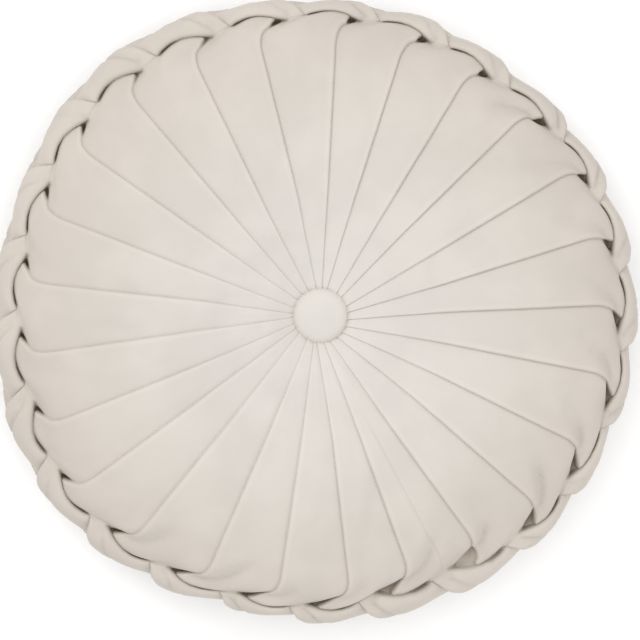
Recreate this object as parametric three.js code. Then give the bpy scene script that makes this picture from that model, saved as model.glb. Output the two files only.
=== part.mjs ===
// Round cushion of pleated velvet: 25 knife pleats on each face run from a covered button to a
// smocked rim, where the cloth is drawn into a braid of three rows of strands.
// Millimetres and degrees, +Z up. It lies on its back with its origin on the floor, under the
// middle of its box. Angles run anticlockwise from +X, seen from the front (from above).

import * as THREE from 'three';

// Driving dimensions

const HEIGHT = 110; // floor to crown
const CROWN_RISE = 56.5; // crown of the front above the middle plane
const MIDDLE_Z = HEIGHT - CROWN_RISE; // the back is pressed flat where it rests

const BUTTON_RADIUS = 17;
const BUTTON_HEIGHT = 8.5;
const BUTTON_EDGE = 3; // height of the button's upright edge
const BUTTON_CORNER = 1.2;
const BUTTON_SIDES = 36;
const DOME_STEPS = 6;
const GAP = 0.3; // between touching pieces
const POCKET_RADIUS = BUTTON_RADIUS + GAP;
const POCKET_DEPTH = 4.5; // how far the button is drawn into the cloth

const PLEAT_STEP = 2.6; // a pleat's folded edge above the panel that it overlaps
const JOIN_STEP = 0.8; // the same at the plain seam that joins the cloth's two ends
const BUTTON_STEP = 1.2; // step of each pleat where it meets the button
const FOLD_RUN = 0.05; // width of a fold's step, as a share of the panel

const NOMINAL_STITCH_RADIUS = 184.5;
const NOMINAL_REACH = 200;
const STRAND_RISE = 5; // how far the strands stand out of the stuffed body
const GROOVE_DEPTH = 7; // how far the cloth goes in under and between the strands
const ROW_HEIGHT = 36; // from one row of stitches to the next, along the cloth
const PITCH_WIDTH = 48; // from one stitch to the next along the rim
const STRAND_ROUNDNESS = 0.85; // how a strand falls off across: 0.5 is an ellipse, 1 a parabola

// Stuffed body from the button's pocket to its widest line; "up" is above the middle plane

const PROFILE = [
  { place: 'pocket edge', r: POCKET_RADIUS, up: 34.5 },
  { place: 'dimple', r: 40, up: 43.5 },
  { place: 'inner slope', r: 75, up: 52 },
  { place: 'crown', r: 112, up: CROWN_RISE },
  { place: 'outer slope', r: 150, up: 53 },
  { place: 'face edge', r: 173, up: 44.5 },
  { place: 'stitch line', r: NOMINAL_STITCH_RADIUS, up: 34 },
  { place: 'rim front', r: 192, up: 20 },
  { place: 'widest', r: NOMINAL_REACH - STRAND_RISE, up: 0 },
];
const STITCH_ROW = PROFILE.findIndex((row) => row.place === 'stitch line');

// Each pleat: its fold's angle near the rim, halfway in and at the button, then the angle and
// radius of the stitch that gathers it, and how far the braid reaches out past that stitch

const PLEATS = [
  { rim: 1.7, mid: 0.9, button: -6.0, stitch: -1.5, stitchRadius: 184.4, reach: 202.0 },
  { rim: 15.6, mid: 13.6, button: 8.3, stitch: 13.3, stitchRadius: 184.4, reach: 201.5 },
  { rim: 29.6, mid: 27.8, button: 21.8, stitch: 27.1, stitchRadius: 184.4, reach: 200.5 },
  { rim: 44.4, mid: 44.4, button: 42.1, stitch: 40.8, stitchRadius: 182.5, reach: 199.5 },
  { rim: 58.3, mid: 57.8, button: 54.5, stitch: 55.8, stitchRadius: 180.6, reach: 198.8 },
  { rim: 72.7, mid: 73.5, button: 75.3, stitch: 69.6, stitchRadius: 182.5, reach: 198.0 },
  { rim: 86.6, mid: 86.2, button: 86.7, stitch: 84.0, stitchRadius: 184.4, reach: 197.4 },
  { rim: 102.3, mid: 100.2, button: 99.2, stitch: 98.5, stitchRadius: 184.4, reach: 199.0 },
  { rim: 116.0, mid: 116.4, button: 115.9, stitch: 113.0, stitchRadius: 185.1, reach: 202.5 },
  { rim: 130.4, mid: 130.7, button: 131.3, stitch: 127.9, stitchRadius: 187.2, reach: 205.0 },
  { rim: 144.8, mid: 144.6, button: 145.1, stitch: 141.7, stitchRadius: 187.6, reach: 204.0 },
  { rim: 159.1, mid: 159.6, button: 162.1, stitch: 155.8, stitchRadius: 186.0, reach: 201.0 },
  { rim: 173.0, mid: 172.3, button: 174.6, stitch: 170.0, stitchRadius: 184.7, reach: 200.5 },
  { rim: 187.2, mid: 186.2, button: 184.8, stitch: 184.2, stitchRadius: 184.0, reach: 201.0 },
  { rim: 201.5, mid: 201.4, button: 198.6, stitch: 198.7, stitchRadius: 183.1, reach: 203.0 },
  { rim: 215.2, mid: 214.0, button: 209.9, stitch: 212.5, stitchRadius: 186.0, reach: 202.0 },
  { rim: 229.7, mid: 228.4, button: 221.7, stitch: 226.5, stitchRadius: 183.1, reach: 199.8 },
  { rim: 245.9, mid: 245.4, button: 241.9, stitch: 240.8, stitchRadius: 179.9, reach: 196.4 },
  { rim: 261.1, mid: 260.6, button: 256.9, stitch: 255.4, stitchRadius: 177.1, reach: 194.0 },
  { rim: 275.8, mid: 275.0, button: 266.0, stitch: 269.2, stitchRadius: 177.3, reach: 195.8 },
  { rim: 288.7, mid: 287.3, button: 280.0, stitch: 283.0, stitchRadius: 177.1, reach: 198.6 },
  { rim: 303.8, mid: 301.2, button: 293.5, stitch: 299.0, stitchRadius: 181.2, reach: 201.8 },
  { rim: 318.4, mid: 317.9, button: 310.7, stitch: 314.6, stitchRadius: 183.3, reach: 202.0 },
  { rim: 333.0, mid: 332.2, button: 325.1, stitch: 328.5, stitchRadius: 184.4, reach: 201.8 },
  { rim: 347.8, mid: 346.7, button: 339.6, stitch: 343.5, stitchRadius: 185.7, reach: 202.0 },
];
const JOIN = { rim: 296.2, mid: 294.0, button: 287.0, stitch: 291.5 };
const FOLD_RADII = { rim: 171, mid: 76, button: 23 }; // where the fold angles are given

// Strands of one repeat of the braid. u counts stitches round the rim, y runs outward along the
// cloth from the front's row of stitches, and rises are from the body's surface.
// The front strand leaves a panel and dives at the widest line; the middle one crosses over it,
// and the last one runs into a panel of the back.

const STRANDS = [
  { fromU: -0.5, fromY: -12, toU: 0.58, toY: 40, halfWidth: 12, from: 0, top: 5, to: -7 },
  { fromU: 1.0, fromY: -2, toU: 0.0, toY: 74, halfWidth: 11, from: -7, top: 5, to: -7 },
  { fromU: -0.58, fromY: 32, toU: 0.5, toY: 84, halfWidth: 12, from: -7, top: 5, to: 0 },
];

// Rings of points: those on a face by their share of the way from pocket to stitch line, those
// on the rim by y and by how far their columns lean along the strands, in stitches

const FACE_RINGS = [0, 0.09, 0.24, 0.43, 0.64, 0.83, 0.95];
const PANEL_COLUMNS = [0, 0.3, 0.65, 1 - FOLD_RUN];
const RIM_COLUMNS = 9; // to each stitch
const RIM_RINGS = [
  { y: -5, lean: -0.1 },
  { y: -0.5, lean: 0.0 },
  { y: 4.5, lean: 0.1 },
  { y: 9.5, lean: 0.21 },
  { y: 14.5, lean: 0.32 },
  { y: 19.5, lean: 0.43 },
  { y: 24.5, lean: 0.52 },
  { y: 29.5, lean: 0.54 },
  { y: 36, lean: 0.5 },
  { y: 42.5, lean: 0.46 },
  { y: 47.5, lean: 0.48 },
  { y: 52.5, lean: 0.57 },
  { y: 57.5, lean: 0.68 },
  { y: 62.5, lean: 0.79 },
  { y: 67.5, lean: 0.9 },
  { y: 72.5, lean: 1.0 },
  { y: 77, lean: 1.1 },
];

// Colours of the velvet, from the front's flat panels

const VELVET = { color: 0xd9d0c6, roughness: 0.9, metalness: 0 };

const COUNT = PLEATS.length;
const lerp = THREE.MathUtils.lerp;
const smooth = THREE.MathUtils.smoothstep;
const radians = THREE.MathUtils.degToRad;

// Value of one of the pleats' columns at a whole or part number of stitches round the rim

function columnAt(name, u, turn = 0) {
  const index = Math.floor(u);
  const value = (k) => PLEATS[THREE.MathUtils.euclideanModulo(k, COUNT)][name] + Math.floor(k / COUNT) * turn;
  return lerp(value(index), value(index + 1), u - index);
}

// Body profile, front and mirrored back, as one curve walked by distance along the cloth

const frontPoints = PROFILE.map((row) => new THREE.Vector2(row.r, row.up));
const backPoints = frontPoints.slice(0, -1).reverse().map((p) => new THREE.Vector2(p.x, -p.y));
const profile = new THREE.SplineCurve([...frontPoints, ...backPoints]);
const STEPS_PER_POINT = 40;
profile.arcLengthDivisions = (frontPoints.length + backPoints.length - 1) * STEPS_PER_POINT;
const lengths = profile.getLengths();
const profileLength = lengths[lengths.length - 1];
const stitchDistance = lengths[STITCH_ROW * STEPS_PER_POINT];
const rimLength = profileLength - 2 * stitchDistance;
const ROWS_ACROSS = 2 * ROW_HEIGHT;

// Point of the body and its outward normal, at y from the front's stitch line, in (r, up)

function bodyAt(y) {
  const alongRim = (y * rimLength) / ROWS_ACROSS;
  const outside = y < 0 ? y : y - ROWS_ACROSS + rimLength;
  const distance = stitchDistance + (y >= 0 && y <= ROWS_ACROSS ? alongRim : outside);
  const share = THREE.MathUtils.clamp(distance / profileLength, 0, 1);
  const point = profile.getPointAt(share);
  const tangent = profile.getTangentAt(share);
  return { point, normal: new THREE.Vector2(-tangent.y, tangent.x) };
}

// The ring isn't quite round: the stitches sit further in or out, and so does the braid

function unevenness(u, y) {
  const atStitch = columnAt('stitchRadius', u) - NOMINAL_STITCH_RADIUS;
  const atReach = columnAt('reach', u) - NOMINAL_REACH;
  const fromStitch = Math.min(y, ROWS_ACROSS - y) / ROW_HEIGHT;
  return lerp(atStitch, atReach, smooth(fromStitch, 0, 1));
}

// One strand's rise at (u, y), or the depth of the groove where the strand isn't

function strandRise(strand, u, y) {
  const run = new THREE.Vector2((strand.toU - strand.fromU) * PITCH_WIDTH, strand.toY - strand.fromY);
  const offset = new THREE.Vector2((u - strand.fromU) * PITCH_WIDTH, y - strand.fromY);
  const along = offset.dot(run) / run.lengthSq();
  const across = offset.cross(run) / run.length() / strand.halfWidth;
  if (along < 0 || along > 1 || Math.abs(across) >= 1) return -GROOVE_DEPTH;
  const end = along < 0.5 ? strand.from : strand.to;
  const ridge = lerp(end, strand.top, Math.sin(Math.PI * along));
  return lerp(-GROOVE_DEPTH, ridge, Math.pow(1 - across * across, STRAND_ROUNDNESS));
}

function rimRise(u, y) {
  const fromStitch = Math.min(y, ROWS_ACROSS - y);
  let rise = -GROOVE_DEPTH * smooth(fromStitch, -9, 2);
  for (const strand of STRANDS) {
    for (const repeat of [-1, 0, 1]) {
      rise = Math.max(rise, strandRise(strand, u - Math.floor(u) + repeat, y));
    }
  }
  return rise;
}

// A fold's angle at a radius: a nearly straight line that misses the button's middle a little

function foldAngle(fold, r) {
  const inverse = 1 / r;
  const { rim, mid, button } = FOLD_RADII;
  const outer = inverse < 1 / mid;
  const [a, b] = outer ? [rim, mid] : [mid, button];
  const [angleA, angleB] = outer ? [fold.rim, fold.mid] : [fold.mid, fold.button];
  const share = (inverse - 1 / a) / (1 / b - 1 / a);
  return angleA + share * (angleB - angleA);
}

// Folds in order round a face, with the join between the cloth's two ends among them

const FOLDS = [...PLEATS.map((pleat) => ({ ...pleat, step: PLEAT_STEP })), { ...JOIN, step: JOIN_STEP }];
FOLDS.sort((a, b) => a.rim - b.rim);

function pointAt(angle, r, z) {
  return { angle, x: r * Math.cos(radians(angle)), y: r * Math.sin(radians(angle)), z: Math.max(z, 0) };
}

// A ring on the front or the back. Each panel is high at its folded edge and sinks towards the
// edge that the next panel overlaps; the back is the front turned over about a stitch's radius.

function faceRing(share, isBack) {
  const y = (share - 1) * stitchDistance;
  const body = bodyAt(y);
  const r = body.point.x;
  const stepHere = lerp(BUTTON_STEP / PLEAT_STEP, 1, smooth(share, 0, 0.3));
  const ring = [];
  for (let k = 0; k < FOLDS.length; k += 1) {
    const turn = k + 1 === FOLDS.length ? 360 : 0;
    const fold = FOLDS[k];
    const next = FOLDS[(k + 1) % FOLDS.length];
    for (const column of PANEL_COLUMNS) {
      const front = lerp(foldAngle(fold, r), foldAngle(next, r) + turn, column);
      const fromStitch = front - lerp(fold.stitch, next.stitch + turn, column);
      const angle = isBack ? front - 2 * fromStitch : front;
      const u = stitchesAt(angle);
      const sink = isBack ? (1 - FOLD_RUN - column) * fold.step : column * next.step;
      const up = body.point.y - sink * stepHere;
      const radius = r + unevenness(u, 0) * share;
      ring.push(pointAt(angle, radius, isBack ? MIDDLE_Z - up : MIDDLE_Z + up));
    }
  }
  return ring;
}

// How many stitches round the rim an angle is

function stitchesAt(angle) {
  const lap = Math.floor((angle - PLEATS[0].stitch) / 360);
  const within = angle - lap * 360;
  let k = 0;
  while (k + 1 < COUNT && PLEATS[k + 1].stitch <= within) k += 1;
  const start = PLEATS[k].stitch;
  const end = k + 1 < COUNT ? PLEATS[k + 1].stitch : PLEATS[0].stitch + 360;
  return lap * COUNT + k + (within - start) / (end - start);
}

function rimRing(row) {
  const body = bodyAt(row.y);
  const ring = [];
  for (let column = 0; column < COUNT * RIM_COLUMNS; column += 1) {
    const u = column / RIM_COLUMNS + row.lean;
    const rise = rimRise(u, row.y);
    const r = body.point.x + unevenness(u, row.y) + rise * body.normal.x;
    ring.push(pointAt(columnAt('stitch', u, 360), r, MIDDLE_Z + body.point.y + rise * body.normal.y));
  }
  return ring;
}

// Triangles between two rings. Rings of the same length join column to column, others by angle.

function joinRings(inner, outer, triangles) {
  const sameColumns = inner.length === outer.length;
  const next = (ring, k) => ring[(k + 1) % ring.length].angle + (k + 1 >= ring.length ? 360 : 0);
  let i = 0;
  let j = 0;
  while (i < inner.length || j < outer.length) {
    const innerDone = i >= inner.length;
    const outerDone = j >= outer.length;
    const outerFirst = sameColumns ? j <= i : !outerDone && (innerDone || next(outer, j) <= next(inner, i));
    const a = inner[i % inner.length];
    const b = outer[j % outer.length];
    if (outerFirst) {
      triangles.push(a, b, outer[(j + 1) % outer.length]);
      j += 1;
    } else {
      triangles.push(a, b, inner[(i + 1) % inner.length]);
      i += 1;
    }
  }
}

// Floor of the button's pocket, straight down from the innermost ring, then its middle

function pocket(ring, floorZ) {
  return ring.map((p) => ({ ...p, z: floorZ }));
}

function geometryOf(triangles) {
  const geometry = new THREE.BufferGeometry();
  const numbers = triangles.flatMap((p) => [p.x, p.y, p.z]);
  geometry.setAttribute('position', new THREE.Float32BufferAttribute(numbers, 3));
  geometry.computeVertexNormals();
  return geometry;
}

const frontPocketZ = MIDDLE_Z + PROFILE[0].up - POCKET_DEPTH;
const backPocketZ = MIDDLE_Z - PROFILE[0].up + POCKET_DEPTH;

function cushionGeometry() {
  const front = FACE_RINGS.map((share) => faceRing(share, false));
  const back = FACE_RINGS.map((share) => faceRing(share, true)).reverse();
  const frontFloor = pocket(front[0], frontPocketZ);
  const backFloor = pocket(back[back.length - 1], backPocketZ);
  const rings = [frontFloor, ...front, ...RIM_RINGS.map(rimRing), ...back, backFloor];
  const triangles = [];
  for (let k = 0; k + 1 < rings.length; k += 1) joinRings(rings[k], rings[k + 1], triangles);
  frontFloor.forEach((p, k) => {
    triangles.push({ x: 0, y: 0, z: frontPocketZ }, p, frontFloor[(k + 1) % frontFloor.length]);
  });
  backFloor.forEach((p, k) => {
    triangles.push({ x: 0, y: 0, z: backPocketZ }, backFloor[(k + 1) % backFloor.length], p);
  });
  return geometryOf(triangles);
}

// Covered button: flat underside, short upright edge and a low dome

function buttonGeometry() {
  const domeRise = BUTTON_HEIGHT - BUTTON_EDGE;
  const points = [
    new THREE.Vector2(0, 0),
    new THREE.Vector2(BUTTON_RADIUS - BUTTON_CORNER, 0),
    new THREE.Vector2(BUTTON_RADIUS, BUTTON_CORNER),
  ];
  for (let k = 0; k <= DOME_STEPS; k += 1) {
    const turn = (k / DOME_STEPS) * (Math.PI / 2);
    const r = k === DOME_STEPS ? 0 : BUTTON_RADIUS * Math.cos(turn);
    points.push(new THREE.Vector2(r, BUTTON_EDGE + domeRise * Math.sin(turn)));
  }
  const geometry = new THREE.LatheGeometry(points, BUTTON_SIDES);
  geometry.rotateX(Math.PI / 2);
  return geometry;
}

function pieceOf(name, geometry) {
  const mesh = new THREE.Mesh(geometry, new THREE.MeshStandardMaterial(VELVET));
  mesh.name = name;
  return mesh;
}

const cushion = pieceOf('cushion', cushionGeometry());

const buttonFront = pieceOf('button_front', buttonGeometry());
buttonFront.position.z = frontPocketZ + GAP;

const buttonBack = pieceOf('button_back', buttonGeometry());
buttonBack.rotation.x = Math.PI;
buttonBack.position.z = backPocketZ - GAP;

const group = new THREE.Group();
group.add(cushion, buttonFront, buttonBack);

// The box's middle goes over the origin, so the buttons stand a few millimetres off it

const middle = new THREE.Box3().setFromObject(cushion).getCenter(new THREE.Vector3());
group.position.set(-middle.x, -middle.y, 0);
group.updateMatrixWorld(true);

export default group;
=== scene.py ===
"""Looks of a round cushion of pleated velvet with a smocked, braided rim and covered buttons."""

import math

import bpy
import numpy as np
from mathutils import Matrix, Vector


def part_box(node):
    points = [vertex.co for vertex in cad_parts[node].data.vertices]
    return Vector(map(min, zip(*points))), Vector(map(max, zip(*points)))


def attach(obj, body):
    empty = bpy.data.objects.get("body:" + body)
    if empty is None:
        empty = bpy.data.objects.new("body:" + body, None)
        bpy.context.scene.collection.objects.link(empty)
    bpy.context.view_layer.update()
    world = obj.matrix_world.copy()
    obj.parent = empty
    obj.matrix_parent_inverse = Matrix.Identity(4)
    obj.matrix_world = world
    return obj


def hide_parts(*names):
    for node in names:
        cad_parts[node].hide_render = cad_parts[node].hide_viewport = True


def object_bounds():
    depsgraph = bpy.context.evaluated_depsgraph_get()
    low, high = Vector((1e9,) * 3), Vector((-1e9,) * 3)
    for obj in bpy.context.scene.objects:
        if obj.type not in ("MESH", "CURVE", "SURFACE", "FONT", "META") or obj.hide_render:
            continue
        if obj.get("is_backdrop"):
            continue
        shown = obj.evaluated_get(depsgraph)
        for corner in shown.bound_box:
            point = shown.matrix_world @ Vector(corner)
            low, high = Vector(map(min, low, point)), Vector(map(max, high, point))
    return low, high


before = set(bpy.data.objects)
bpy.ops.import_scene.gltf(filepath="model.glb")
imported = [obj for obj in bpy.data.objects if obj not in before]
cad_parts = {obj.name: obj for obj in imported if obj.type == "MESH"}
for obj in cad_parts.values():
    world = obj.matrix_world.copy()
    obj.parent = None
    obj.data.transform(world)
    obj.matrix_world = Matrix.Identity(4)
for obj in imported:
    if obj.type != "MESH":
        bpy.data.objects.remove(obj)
cad_low, cad_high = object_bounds()

MM = 0.001

# Driving sizes in millimetres, as in the part's source

button_low, button_high = (np.array(corner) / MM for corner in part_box("button_front"))
CENTRE = ((button_low + button_high) / 2)[:2]
HEIGHT = cad_high.z / MM
CROWN_RISE = 56.0
MIDDLE_Z = HEIGHT - CROWN_RISE
BUTTON_RADIUS = 17.3
NOMINAL_STITCH_RADIUS = 184.5
NOMINAL_REACH = 200.0
BODY_REACH = 192.5
RIM_CLOTH = 72.0  # cloth between the front's and the back's line of stitches
PITCH_WIDTH = 48.0  # cloth between two folds, at the rim

PROFILE = np.array([  # r and rise above the middle plane, from the button outwards
    (BUTTON_RADIUS, 34.0), (40.0, 43.5), (75.0, 52.0), (112.0, CROWN_RISE), (150.0, 52.5),
    (173.0, 44.5), (NOMINAL_STITCH_RADIUS, 34.0), (192.0, 20.0), (BODY_REACH, 0.0),
])
STITCH_POINT = 6
SPAN_STEPS = 60

# Smaller radii than these count as if they were these, so that nothing turns too far at the axis

LEAST_PITCH_RADIUS = 14.0
LEAST_FOLD_RADIUS = 12.0
LEAST_TURN_RADIUS = 10.0

# Pleats and their rolled folds

PLEAT_STEP = 2.0
STEP_START = 0.35  # share of the step that even the narrowest pleat has
STEP_GROWTH = 40.0  # the share grows by 1 over this much of a pleat's width
FOLD_DIP = 0.4  # depth of the crevice beside a fold, as a share of the step
LEAST_DIP = 0.35  # share of its dip that the shallowest fold has, opposite the widest hole
FOLD_WIDTH = 2.7
WIDEST_FOLD = 0.2  # share of the pitch
BEND_WIDTH = 3.2
BEND_RUN = 24.0  # a fold turns from its own angle towards its hole over this much cloth
BEND_END = 0.5
# Place and width in mm of the painted highlight on a fold's rolled edge
RIDGE_PLACE = 2.6
RIDGE_WIDTH = 1.4
FULL_RIDGE_PITCH = 24.0  # on narrower pleats the painted highlight on the rolled edge is narrower too

# Holes where the pleats part at the stitches

HOLE_DEPTH = 10.0
HOLE_WIDTH = 4.6
LEAST_HOLE = 0.3  # share of its width that the narrowest hole has, opposite the widest
WIDEST_HOLE = math.radians(0)
HOLE_RUN = (5.5, 12.0)  # a hole starts this far up its fold: the shortest, and the longest
LONGEST_HOLE = math.radians(315)

# Slits between the holes

SLIT_DEPTH = 5.5  # a slit of this depth has painted shade as dark, and leans as far, as any
LEAST_LEAN = 0.2
SLIT_REACH = 4.5
WIDER_SLIT = 0.9  # share by which a slit's widening grows at the longest holes

# On one side the stitches are pulled in, and the holes and slits gape

PULLED_OPEN = math.radians(297)
PULL_SPREAD = math.radians(15)
PULLED_HOLE = 7.0  # mm by which a hole is wider there
PULLED_SLIT = 3.0  # share by which a slit's widening grows there
PULLED_SHADE = 0.65  # share of its painted shade that a hole or slit has there
PULLED_DEPTH = 0.5  # share of its depth that a hole has there

# On another side the holes are nearly shut

DRAWN_SHUT = math.radians(121)
SHUT_SPREAD = math.radians(12)
SHUT_SHARE = 0.3  # share of its width, depth and painted shade that a hole has there

# Strands of the braid's front and back rows

STRAND_RISE = 8.0
STRAND_FALL = 0.75  # share of its rise that a strand loses towards its root, under its neighbour
DIVE_SHARE = 0.9  # share of its rise that it loses at the waist
WAIST_DEPTH = 8.0
EDGE_WIDTH = 5.5
EDGE_DIP = 2.0
STRAND_CREASE_WIDTH = 2.4
STRAND_CREASE_ROWS = (2, 16)  # between these rows the crease along a strand moves to its own place
STRAND_CREASE_SHARES = (0.3, 1.0)

# Rows s, in mm outwards from the slit's line, between which a form grows or fades

HOLE_FULL = -1.5
HOLE_FADES = (0, 3)
HOLE_WIDE = -0.5
HOLE_NARROWS = (8, 20)
FACE_FADES = (-1.0, 1.5)
STRAND_GROWS = (-2, 10)
STRAND_DIVES = (15, 32)
EDGE_GROWS = (-0.5, 3)
STRAND_CREASE_GROWS = (1, 6)
STRAND_CREASE_FADES = (22, 34)
LINE_GROWS = (-30, -4)
LINE_FADES = (4, 32)
FULLNESS_GROWS = (-22, 0)
FULLNESS_FADES = (2, 22)
REACH_GROWS = (0, 20)
TURN_OVER = (RIM_CLOTH / 2 - 9, RIM_CLOTH / 2 + 9)

# Painted shading: 1 is painted shade as dark as the darkest hole, and below 0 is a painted highlight
# where the nap is paler

OPEN_HOLE_SHADE = 0.52  # the longest holes are the least dark
# Painted shade in a fold's crevice, in a slit, and in the join's groove
FOLD_SHADE = 0.12
SLIT_SHADE = 0.8
JOIN_SHADE = 0.3
BUTTON_SHADE = 0.34  # painted shadow of the button where the pleats meet it
BUTTON_SHADE_FADES = (0, 2.5)  # mm from the button's edge
SOFT_SHADE = 0.105  # painted shade, to each mm of a soft crease's depth
RIDGE_SHINE = 0.42  # painted highlight: how much paler the nap is on a fold's rolled edge

# The camera stands a little off the cushion's axis, so the near side looks larger than the far one

TILT = math.radians(5.0)
TILT_TOWARDS = math.radians(135)
SEEN_SHIFT = np.array([-math.cos(TILT_TOWARDS), -math.sin(TILT_TOWARDS)]) * math.tan(TILT)
NEAR_SIDE = math.radians(110)
SEEN_GAIN = 0.8
NEAR_GAIN = 2.05
STITCH_LAG = 0.7  # degrees

# Each pleat's fold as seen: angles in degrees at three radii and at its stitch, radii in mm

PLEAT_COLUMNS = ("rim", "mid", "button", "stitch", "stitch_radius", "reach")
PLEATS = np.array([
    (1.7, 0.9, -6.0, -1.5, 184.4, 202.0),
    (15.6, 13.6, 8.3, 13.3, 184.4, 201.5),
    (29.6, 27.8, 21.8, 27.1, 184.4, 200.5),
    (44.4, 44.4, 42.1, 40.8, 182.5, 198.5),
    (58.3, 57.8, 54.5, 55.8, 180.6, 196.8),
    (72.7, 73.5, 75.3, 69.6, 182.5, 198.0),
    (86.6, 86.2, 86.7, 84.0, 184.4, 197.4),
    (102.3, 100.2, 99.2, 98.5, 184.4, 199.0),
    (116.0, 116.4, 115.9, 113.0, 185.1, 204.0),
    (130.4, 130.7, 131.3, 127.9, 187.2, 208.0),
    (144.8, 144.6, 145.1, 141.7, 187.6, 207.5),
    (159.1, 159.6, 162.1, 155.8, 186.0, 204.0),
    (173.0, 172.3, 174.6, 170.0, 184.7, 203.5),
    (187.2, 186.2, 184.8, 184.2, 184.0, 204.0),
    (201.5, 201.4, 198.6, 198.7, 183.1, 207.0),
    (215.2, 214.0, 209.9, 212.5, 186.0, 207.0),
    (229.7, 228.4, 221.7, 226.5, 183.1, 204.3),
    (245.9, 245.4, 241.9, 240.8, 179.9, 198.9),
    (261.1, 260.6, 256.9, 255.4, 177.1, 194.0),
    (275.8, 275.0, 266.0, 269.2, 177.3, 195.8),
    (288.7, 287.3, 280.0, 283.0, 173.2, 197.8),
    (303.8, 301.2, 293.5, 299.0, 175.0, 200.4),
    (318.4, 317.9, 310.7, 314.6, 182.0, 202.0),
    (333.0, 332.2, 325.1, 328.5, 183.2, 201.8),
    (347.8, 346.7, 339.6, 343.5, 185.7, 202.0),
])
COUNT = len(PLEATS)
FOLD_RADII = {"rim": 171.0, "mid": 76.0, "button": 23.0}

# The slit's line round the rim: place in pitches after the stitch, shifts along the cloth and
# outwards, the slit's depth, its width beside the section's own, and the lift of the strand beyond

HOLE_END = -0.07
RIM_COLUMNS = ("place", "along", "out", "depth", "width", "lift")
RIM_LINE = np.array([
    (-0.07, 2.8, 0.3, 3.0, 1.0, 3.0),
    (0.0, 3.3, 0.8, 5.0, 1.0, 4.5),
    (0.04, 3.7, 1.3, 3.5, 0.8, 5.0),
    (0.14, 4.8, 2.4, 1.0, 0.65, 5.0),
    (0.28, 6.0, 3.0, 1.4, 0.7, 5.0),
    (0.42, 6.0, 2.8, 5.0, 1.2, 4.5),
    (0.57, 5.2, 1.9, 6.5, 1.5, 3.8),
    (0.64, 4.7, 1.3, 1.5, 1.1, 3.2),
    (0.70, 4.3, 1.0, 0.9, 1.0, 2.1),
    (0.75, 3.7, 0.7, 0.8, 1.0, 1.2),
    (0.88, 3.0, 0.3, 0.8, 1.0, 0.9),
    (0.93, 2.8, 0.3, 3.0, 1.0, 3.0),
])

# Paths over the rim, in pitches: a strand's free edge, and the columns that continue a fold

EDGE_START = 0.62
EDGE_TURN = 0.84  # how far that edge leans round the rim from front to back
EDGE_CLOTH_SHARES = (0, 0.25, 0.75, 1)
EDGE_TURN_SHARES = (0, 0.38, 0.62, 1)
FOLD_PATH_ROWS = (-8, -1, RIM_CLOTH + 1, RIM_CLOTH + 8)
FOLD_PATH_PLACES = (0, -0.03, 1.03, 1.0)

# Sections of the cloth where it laps: place, shift across, share of the dip, share of the step

FOLD_SECTION = np.array([
    (-1.0, 0.0, 0.0, 0.0), (-0.45, 0.02, 0.03, 0.0), (-0.22, 0.06, 0.15, 0.0),
    (-0.08, 0.12, 0.50, 0.0), (0.0, 0.16, 0.90, 0.0), (0.08, 0.16, 1.0, 0.05),
    (0.16, 0.10, 0.65, 0.22), (0.3, -0.06, 0.20, 0.52), (0.5, -0.12, 0.0, 0.82),
    (0.75, -0.05, 0.0, 1.0), (1.0, 0.0, 0.0, 1.0),
])
EDGE_SECTION = np.array([
    (-1.0, 0.0, 0.0, 0.0), (-0.6, 0.02, 0.05, 0.0), (-0.3, 0.12, 0.20, 0.0),
    (-0.1, 0.30, 0.60, 0.0), (0.0, 0.42, 1.0, 0.0), (0.08, 0.42, 0.9, 0.12),
    (0.18, 0.20, 0.40, 0.34), (0.3, -0.10, 0.10, 0.60), (0.45, -0.20, 0.0, 0.82),
    (0.7, -0.10, 0.0, 0.97), (1.0, 0.0, 0.0, 1.0),
])
SLIT_SECTION = np.array([  # place, shift out, share of the depth, share of the lift
    (-5.0, 0.0, 0.0, 0.0), (-3.4, 0.1, 0.0, 0.0), (-2.4, 0.16, 0.02, 0.0),
    (-1.5, 0.25, 0.10, 0.0), (-0.9, 0.3, 0.32, 0.0), (-0.3, 0.3, 0.75, 0.0),
    (0.1, 0.3, 1.0, 0.0), (0.5, 0.3, 0.8, 0.04), (1.0, -0.1, 0.4, 0.2),
    (1.6, -0.5, 0.1, 0.45), (2.4, -0.8, 0.0, 0.7), (3.6, -0.8, 0.0, 0.93),
    (5.5, -0.5, 0.0, 1.0), (9.0, -0.2, 0.0, 0.6), (14.0, 0.0, 0.0, 0.1), (20.0, 0.0, 0.0, 0.0),
])

# Soft creases that run in from the rim: pleat, share of it and row s at both ends, depth and width

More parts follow.
